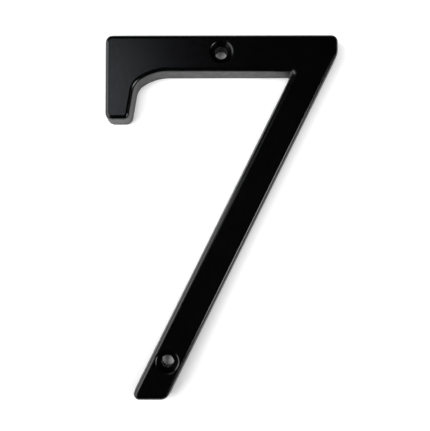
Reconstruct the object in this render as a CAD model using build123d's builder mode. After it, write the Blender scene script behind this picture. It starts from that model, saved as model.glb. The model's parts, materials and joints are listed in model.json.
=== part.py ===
"""House number 7, die-cast in zinc and painted black, for fixing flat to a wall with two screws.

The number stands upright: +Z is up, +X is to the right as it is read, and the face looks along -Y.
The origin is on the wall plane, midway between the two screw holes.
"""

import os
from math import cos, radians, sin, tan

from build123d import *

# The number's face, in millimetres, and how far it stands off the wall
height = 127.0
width = 81.65
thickness = 9.5

# Strokes: the bar across the top, the serif that hangs from its left end, and the sloping leg
bar_height = 12.97
serif_drop = 29.8
serif_tip = 8.15
serif_flare = 9.7  # degrees that the serif's inner side leans from upright
leg_width = 11.1  # square across the leg
leg_lean = 26.53  # degrees from upright
foot_inset = 9.1  # from the serif's outer side to the leg's left corner

# Rounding of the outline
top_left_round = 2.4
top_right_round = 2.2
serif_outer_round = 2.4
serif_inner_round = 2.1
foot_left_round = 1.9
foot_right_round = 3.3
shoulder_round = 6.7
inner_corner_round = 0.8
bracket_wide_round = 17.0
bracket_tight_round = 6.0
bracket_turn = 34.0  # degrees turned by the wide arc before the tight one takes over

# Sides and front edge, as the casting leaves its mould
side_draft = 2.5  # degrees, widening towards the wall
front_round = 1.5

# Countersunk holes for two flat-head wood screws, 4.2 mm in the shank
screw_bore = 4.4
sink_diameter = 7.9
sink_angle = 82.0
sink_rim_round = 0.9
upper_screw_from_left = 40.6
upper_screw_from_top = 6.05
lower_screw_height = 13.1

# Hollowed back: a rim that meets the wall, the face left in front, and a boss around each hole
rim_width = 2.4
face_wall = 2.8
boss_wall = 3.6
core_round = 0.8

# Heights and slopes that follow from the sizes above
underside = height - bar_height
serif_end = height - serif_drop
lean = tan(radians(leg_lean))
flare = tan(radians(serif_flare))
leg_level_width = leg_width / cos(radians(leg_lean))
inner_corner_x = foot_inset + underside * lean
shoulder_z = (width - foot_inset - leg_level_width) / lean

# Bracket between serif and bar: a wide arc from the underside, then a tight one onto the serif
side_turn = 90 - serif_flare
wide_end_x = bracket_wide_round * sin(radians(bracket_turn))
wide_end_drop = bracket_wide_round * (1 - cos(radians(bracket_turn)))
tight_end_x = wide_end_x + bracket_tight_round * (sin(radians(side_turn)) - sin(radians(bracket_turn)))
tight_end_drop = wide_end_drop + bracket_tight_round * (
    cos(radians(bracket_turn)) - cos(radians(side_turn))
)
serif_side_x = serif_tip + (underside - tight_end_drop - serif_end) * flare
bracket_x = serif_side_x + tight_end_x

# Screw holes: one in the middle of the bar, one on the leg's centre line
upper_screw = (upper_screw_from_left, height - upper_screw_from_top)
lower_screw = (foot_inset + leg_level_width / 2 + lower_screw_height * lean, lower_screw_height)
screw_middle_x = (upper_screw[0] + lower_screw[0]) / 2
screw_middle_z = (upper_screw[1] + lower_screw[1]) / 2
boss_radius = screw_bore / 2 + boss_wall

# Planes of the wall and of the number's face, both drawn from the outline's lower left corner
wall_plane = Plane(origin=(-screw_middle_x, 0, -screw_middle_z), x_dir=(1, 0, 0), z_dir=(0, -1, 0))
face_plane = wall_plane.offset(thickness)
side_spread = thickness * tan(radians(side_draft))

# Outline of the number as its face shows it
with BuildSketch() as outline:
    with BuildLine():
        top = Line((0, height), (width, height))
        right_side = Line(top @ 1, (width, shoulder_z))
        leg_right = Line(right_side @ 1, (foot_inset + leg_level_width, 0))
        foot = Line(leg_right @ 1, (foot_inset, 0))
        leg_left = Line(foot @ 1, (inner_corner_x, underside))
        bar_underside = Line(leg_left @ 1, (bracket_x, underside))
        bracket_wide = JernArc(bar_underside @ 1, (-1, 0), bracket_wide_round, bracket_turn)
        bracket_tight = JernArc(
            bracket_wide @ 1, bracket_wide % 1, bracket_tight_round, side_turn - bracket_turn
        )
        serif_side = Line(bracket_tight @ 1, (serif_tip, serif_end))
        serif_bottom = Line(serif_side @ 1, (0, serif_end))
        Line(serif_bottom @ 1, top @ 0)
    make_face()
    corner_rounds = {
        (0, height): top_left_round,
        (width, height): top_right_round,
        (width, shoulder_z): shoulder_round,
        (foot_inset + leg_level_width, 0): foot_right_round,
        (foot_inset, 0): foot_left_round,
        (inner_corner_x, underside): inner_corner_round,
        (serif_tip, serif_end): serif_inner_round,
        (0, serif_end): serif_outer_round,
    }
    for corner, corner_round in corner_rounds.items():
        fillet(outline.vertices().sort_by_distance(corner)[0], corner_round)

# The casting, in one piece
with BuildPart() as house_number:
    with BuildSketch(face_plane):
        add(outline.sketch)
    extrude(amount=-thickness)
    sides = house_number.faces().filter_by(Axis.Y, reverse=True)
    draft(sides, face_plane, side_draft)
    fillet(house_number.faces().sort_by(Axis.Y)[0].edges(), front_round)

    # Hollow in the back, broken by the two screw bosses
    with BuildSketch(wall_plane):
        add(outline.sketch)
        offset(amount=side_spread - rim_width - core_round)
        with Locations(upper_screw, lower_screw):
            Circle(boss_radius + core_round, mode=Mode.SUBTRACT)
        offset(amount=core_round)
    extrude(amount=thickness - face_wall, mode=Mode.SUBTRACT)

    # Screw holes, sunk from the face
    with Locations(face_plane):
        with Locations(upper_screw, lower_screw):
            CounterSinkHole(screw_bore / 2, sink_diameter / 2, thickness, sink_angle)
    sink_rims = house_number.edges(Select.LAST).group_by(Axis.Y)[0]
    fillet(sink_rims, sink_rim_round)

house_number.part.label = "house_number"
os.makedirs("parts", exist_ok=True)
export_step(house_number.part, "parts/house_number.step")
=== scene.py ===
import json
from math import cos, pi, radians, sin, tau

import bmesh
import bpy
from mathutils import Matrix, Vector

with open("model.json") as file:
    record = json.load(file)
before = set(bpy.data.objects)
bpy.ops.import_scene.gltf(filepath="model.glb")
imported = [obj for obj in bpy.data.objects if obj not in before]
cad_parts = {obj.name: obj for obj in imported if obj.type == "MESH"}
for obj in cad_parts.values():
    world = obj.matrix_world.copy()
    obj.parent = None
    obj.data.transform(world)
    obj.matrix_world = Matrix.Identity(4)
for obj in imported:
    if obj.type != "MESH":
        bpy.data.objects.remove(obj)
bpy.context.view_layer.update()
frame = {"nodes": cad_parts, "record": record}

# House number
# A figure 7 die-cast in zinc in one piece, with a hollowed back, fixed to a wall by two flat-head screws.
# It is sprayed satin black all over and dries to a faint orange peel, duller on the sides and back.
thick_film = (0.0005, 0.0005, 0.0006, 1)
thin_film = (0.0009, 0.0009, 0.0011, 1)
film_patch = 0.009
face_roughness = (0.19, 0.215)
face_patch = 0.0015
side_roughness = (0.46, 0.56)
side_patch = 0.002
peel_depth = 0.000006
peel_patch = 0.0009
grain_depth = 0.00003
grain_patch = 0.0006
noise_middle = (0.35, 0.65)
face_to_side = (-0.6, -0.1)
side_to_back = (0.3, 0.8)
house_number = frame["nodes"]["house_number"]

black_paint = bpy.data.materials.new("black_paint_satin")
black_paint.use_nodes = True
paint_nodes = black_paint.node_tree.nodes
paint_links = black_paint.node_tree.links
paint = paint_nodes["Principled BSDF"]
paint.inputs["IOR"].default_value = 1.5

place = paint_nodes.new("ShaderNodeTexCoord")


def paint_noise(patch, detail):
    """Noise on the paint whose patches are about this many metres across."""
    noise = paint_nodes.new("ShaderNodeTexNoise")
    noise.inputs["Scale"].default_value = 1 / patch
    noise.inputs["Detail"].default_value = detail
    paint_links.new(place.outputs["Object"], noise.inputs["Vector"])
    return noise.outputs["Fac"]


def paint_range(value, spread_from, spread_to):
    """Spreads a value from one range over another, and holds it at the ends."""
    spread = paint_nodes.new("ShaderNodeMapRange")
    spread.inputs["From Min"].default_value = spread_from[0]
    spread.inputs["From Max"].default_value = spread_from[1]
    spread.inputs["To Min"].default_value = spread_to[0]
    spread.inputs["To Max"].default_value = spread_to[1]
    paint_links.new(value, spread.inputs["Value"])
    return spread.outputs["Result"]


# Colour: black, a little bluer and paler where the film lies thin
film = paint_nodes.new("ShaderNodeValToRGB")
film.color_ramp.elements[0].position = noise_middle[0]
film.color_ramp.elements[0].color = thick_film
film.color_ramp.elements[1].position = noise_middle[1]
film.color_ramp.elements[1].color = thin_film
paint_links.new(paint_noise(film_patch, 3), film.inputs["Fac"])
paint_links.new(film.outputs["Color"], paint.inputs["Base Color"])

# Gloss: satin on the face and its rounded edge, dull on the sides and back, where the spray slants in
surface = paint_nodes.new("ShaderNodeNewGeometry")
facing = paint_nodes.new("ShaderNodeSeparateXYZ")
paint_links.new(surface.outputs["Normal"], facing.inputs["Vector"])
off_face = paint_range(facing.outputs["Y"], face_to_side, (0, 1))
on_back = paint_range(facing.outputs["Y"], side_to_back, (0, 1))
dullness = paint_nodes.new("ShaderNodeMix")
paint_links.new(off_face, dullness.inputs["Factor"])
face_dullness = paint_range(paint_noise(face_patch, 3), noise_middle, face_roughness)
side_dullness = paint_range(paint_noise(side_patch, 4), noise_middle, side_roughness)
paint_links.new(face_dullness, dullness.inputs["A"])
paint_links.new(side_dullness, dullness.inputs["B"])
paint_links.new(dullness.outputs["Result"], paint.inputs["Roughness"])

# Surface: orange peel in the paint everywhere, and the grain of the mould on the back
orange_peel = paint_nodes.new("ShaderNodeBump")
orange_peel.inputs["Distance"].default_value = peel_depth
orange_peel.inputs["Strength"].default_value = 1
paint_links.new(paint_noise(peel_patch, 2), orange_peel.inputs["Height"])
mould_grain = paint_nodes.new("ShaderNodeBump")
mould_grain.inputs["Distance"].default_value = grain_depth
paint_links.new(on_back, mould_grain.inputs["Strength"])
paint_links.new(paint_noise(grain_patch, 5), mould_grain.inputs["Height"])
paint_links.new(orange_peel.outputs["Normal"], mould_grain.inputs["Normal"])
paint_links.new(mould_grain.outputs["Normal"], paint.inputs["Normal"])

house_number.material_slots[0].material = black_paint

# White board behind the number
# The number lies against a matt white board, as it would on a painted wall. The board takes its soft
# shadow from the lamps, with more painted shade in its glow, is open behind the casting, so that light
# reaches the hollow back, and shows from the front only.
board_reach = 0.6
board_gap = 0.00005
weld = 0.000001
side_normal_y = -0.02
rim_normal_y = 0.9
hole_steps = 48
board_white = (0.9, 0.9, 0.9, 1)
painted_shade_heights = (-0.062, -0.013)
painted_shade_levels = (0.23, 0.39)
hole_painted_shade_glow = 0.03
painted_contact_shade_reach = 0.0015
fade_to_white = (0.12, 0.3)

casting = bmesh.new()
casting.from_mesh(house_number.data)
bmesh.ops.remove_doubles(casting, verts=casting.verts, dist=weld)
board = bmesh.new()
board_corners = {}


def board_corner(x, z):
    """The board's corner at this place, made when it is first asked for."""
    key = (round(x / weld), round(z / weld))
    if key not in board_corners:
        board_corners[key] = board.verts.new((x, board_gap, z))
    return board_corners[key]


# Opening: the edges where the casting's drafted outer sides meet the flat rim of its back
for edge in casting.edges:
    normals_y = sorted(face.normal.y for face in edge.link_faces)
    if len(normals_y) == 2 and normals_y[0] < side_normal_y and normals_y[1] > rim_normal_y:
        board.edges.new([board_corner(end.co.x, end.co.z) for end in edge.verts])
casting.free()
signs = ((-1, -1), (1, -1), (1, 1), (-1, 1))
outer_corners = [board_corner(x * board_reach, z * board_reach) for x, z in signs]
for start, end in zip(outer_corners, outer_corners[1:] + outer_corners[:1]):
    board.edges.new((start, end))
bmesh.ops.triangle_fill(board, edges=board.edges[:], use_beauty=True)

# Floors of the screw holes: the board as it shows through them
for mount in frame["record"]["mounts"]:
    if mount["kind"] == "bore":
        x, _, z = mount["pos_m"]
        hole_radius = mount["dims"]["r_mm"] / 1000
        turns = [tau * step / hole_steps for step in range(hole_steps)]
        rim = [(x + hole_radius * cos(turn), board_gap, z + hole_radius * sin(turn)) for turn in turns]
        hole_floor = board.faces.new([board.verts.new(point) for point in rim])
        # These floors take the copy of the board's material that carries painted shade
        hole_floor.material_index = 1
for face in board.faces:
    face.normal_update()
    if face.normal.y > 0:
        face.normal_flip()
board_mesh = bpy.data.meshes.new("white_board")
board.to_mesh(board_mesh)
board.free()
white_board = bpy.data.objects.new("white_board", board_mesh)
bpy.context.scene.collection.objects.link(white_board)

white = bpy.data.materials.new("white_board")
white.use_nodes = True
white_nodes = white.node_tree.nodes
white_links = white.node_tree.links
white_nodes.clear()
matt = white_nodes.new("ShaderNodeBsdfDiffuse")
matt.inputs["Color"].default_value = board_white

# Glow: painted shade, darker towards the bottom of the board and darker still against the casting's sides,
# and plain white away from the number
white_place = white_nodes.new("ShaderNodeTexCoord")
white_height = white_nodes.new("ShaderNodeSeparateXYZ")
white_links.new(white_place.outputs["Object"], white_height.inputs["Vector"])
# Painted shade: the glow is lower towards the bottom of the board, so the shadows there look darker
glow_painted_shade = white_nodes.new("ShaderNodeMapRange")
glow_painted_shade.inputs["From Min"].default_value = painted_shade_heights[0]
glow_painted_shade.inputs["From Max"].default_value = painted_shade_heights[1]
glow_painted_shade.inputs["To Min"].default_value = painted_shade_levels[0]
glow_painted_shade.inputs["To Max"].default_value = painted_shade_levels[1]
white_links.new(white_height.outputs["Z"], glow_painted_shade.inputs["Value"])
# Painted contact shade: the glow darkens within a millimetre and a half of the casting's sides
painted_contact_shade = white_nodes.new("ShaderNodeAmbientOcclusion")
painted_contact_shade.samples = 4
painted_contact_shade.inputs["Distance"].default_value = painted_contact_shade_reach
white_links.new(glow_painted_shade.outputs["Result"], painted_contact_shade.inputs["Color"])
from_middle = white_nodes.new("ShaderNodeVectorMath")
from_middle.operation = "LENGTH"
white_links.new(white_place.outputs["Object"], from_middle.inputs[0])
far_off = white_nodes.new("ShaderNodeMapRange")
far_off.inputs["From Min"].default_value = fade_to_white[0]
far_off.inputs["From Max"].default_value = fade_to_white[1]
white_links.new(from_middle.outputs["Value"], far_off.inputs["Value"])
paler = white_nodes.new("ShaderNodeMath")
paler.operation = "MAXIMUM"
white_links.new(painted_contact_shade.outputs["Color"], paler.inputs[0])
white_links.new(far_off.outputs["Result"], paler.inputs[1])
lit = white_nodes.new("ShaderNodeEmission")
white_links.new(paler.outputs["Value"], lit.inputs["Color"])

# The glow shows to the camera, in reflections and through clear things, and lights nothing else
rays = white_nodes.new("ShaderNodeLightPath")
looked_at = rays.outputs["Is Camera Ray"]
for kind in ("Is Glossy Ray", "Is Transmission Ray"):
    either = white_nodes.new("ShaderNodeMath")
    either.operation = "MAXIMUM"
    white_links.new(looked_at, either.inputs[0])
    white_links.new(rays.outputs[kind], either.inputs[1])
    looked_at = either.outputs["Value"]
white_links.new(looked_at, lit.inputs["Strength"])
sheet = white_nodes.new("ShaderNodeAddShader")
white_links.new(matt.outputs["BSDF"], sheet.inputs[0])
white_links.new(lit.outputs["Emission"], sheet.inputs[1])

# From behind, the camera looks through the board at the number's back
clear = white_nodes.new("ShaderNodeBsdfTransparent")
seen_side = white_nodes.new("ShaderNodeNewGeometry")
from_behind = white_nodes.new("ShaderNodeMath")
from_behind.operation = "MULTIPLY"
white_links.new(seen_side.outputs["Backfacing"], from_behind.inputs[0])
white_links.new(rays.outputs["Is Camera Ray"], from_behind.inputs[1])
one_sided = white_nodes.new("ShaderNodeMixShader")
white_links.new(from_behind.outputs["Value"], one_sided.inputs["Fac"])
white_links.new(sheet.outputs["Shader"], one_sided.inputs[1])
white_links.new(clear.outputs["BSDF"], one_sided.inputs[2])
white_out = white_nodes.new("ShaderNodeOutputMaterial")
white_links.new(one_sided.outputs["Shader"], white_out.inputs["Surface"])
board_mesh.materials.append(white)

# In the screw holes the board glows less: a painted shade
painted_shade_in_holes = white.copy()
painted_shade_in_holes.name = "white_board_painted_shade_in_holes"
painted_hole_shade_glow = painted_shade_in_holes.node_tree.nodes[glow_painted_shade.name]
painted_hole_shade_glow.inputs["To Min"].default_value = hole_painted_shade_glow
painted_hole_shade_glow.inputs["To Max"].default_value = hole_painted_shade_glow
board_mesh.materials.append(painted_shade_in_holes)

# Studio light
# A large soft box stands on the left, smaller ones on the right and above, and two light the back. Two
# lamps behind the camera light the board, hidden from reflections. The room is dark, white to the camera.
cool_tint = (0.85, 0.91, 1)
room_dark = (0.004, 0.004, 0.0042, 1)
room_white = (1, 1, 1, 1)
middle = (0, 0, 0)


def soft_box(name, place, towards, size, radiance, tint=(1, 1, 1)):
    """A flat lamp at this place, turned towards a point, as bright all over as radiance says."""
    lamp = bpy.data.lights.new(name, "AREA")
    lamp.shape = "RECTANGLE"
    lamp.size = size[0]
    lamp.size_y = size[1]
    lamp.energy = radiance * pi * size[0] * size[1]
    lamp.color = tint
    box = bpy.data.objects.new(name, lamp)
    box.location = place
    aim = Vector(towards) - Vector(place)
    box.rotation_euler = aim.to_track_quat("-Z", "Y").to_euler()
    bpy.context.scene.collection.objects.link(box)
    return box


soft_box("left_soft_box", (-0.45, -0.425, -0.06), (0, -0.425, -0.06), (0.65, 0.68), 2.8)
soft_box("right_soft_box", (0.45, -0.366, -0.18), middle, (0.17, 0.27), 9.0)
soft_box("upper_left_soft_box", (-0.176, -0.76, 0.17), middle, (0.16, 0.21), 1.5, cool_tint)
soft_box("back_left_soft_box", (-0.35, 0.75, 0.35), middle, (0.5, 0.5), 6)
soft_box("back_right_soft_box", (0.6, 0.5, 0.1), middle, (0.3, 0.6), 6)
left_fill = soft_box("left_fill", (-0.39, -1.0, 0.06), middle, (0.4, 0.4), 9.5)
right_fill = soft_box("right_fill", (0.43, -1.0, 0.02), middle, (0.22, 0.22), 14.9)
left_fill.visible_glossy = False
right_fill.visible_glossy = False

room = bpy.data.worlds.new("room")
bpy.context.scene.world = room
room.use_nodes = True
room_nodes = room.node_tree.nodes
room_links = room.node_tree.links
dark = room_nodes["Background"]
dark.inputs["Color"].default_value = room_dark
pale = room_nodes.new("ShaderNodeBackground")
pale.inputs["Color"].default_value = room_white
room_rays = room_nodes.new("ShaderNodeLightPath")
room_side = room_nodes.new("ShaderNodeMixShader")
room_links.new(room_rays.outputs["Is Camera Ray"], room_side.inputs["Fac"])
room_links.new(dark.outputs["Background"], room_side.inputs[1])
room_links.new(pale.outputs["Background"], room_side.inputs[2])
room_links.new(room_side.outputs["Shader"], room_nodes["World Output"].inputs["Surface"])
bpy.context.scene.view_settings.view_transform = "Standard"

# Camera
# It stands a little over a quarter of a metre off, level with the middle of the leg, and looks slightly
# up, with the number filling most of the frame and a tenth of a degree of roll.
camera_roll = radians(-0.1)
look_at = Vector((0.00712, -0.0095, -0.00358))
camera_data = bpy.data.cameras.new("camera")
camera_data.sensor_width = 36
camera_data.lens = 64.61
camera = bpy.data.objects.new("camera", camera_data)
camera.location = (0.00729, -0.27740, -0.01640)
camera.rotation_euler = (look_at - camera.location).to_track_quat("-Z", "Y").to_euler()
camera.rotation_euler.rotate_axis("Z", camera_roll)
bpy.context.scene.collection.objects.link(camera)
bpy.context.scene.camera = camera
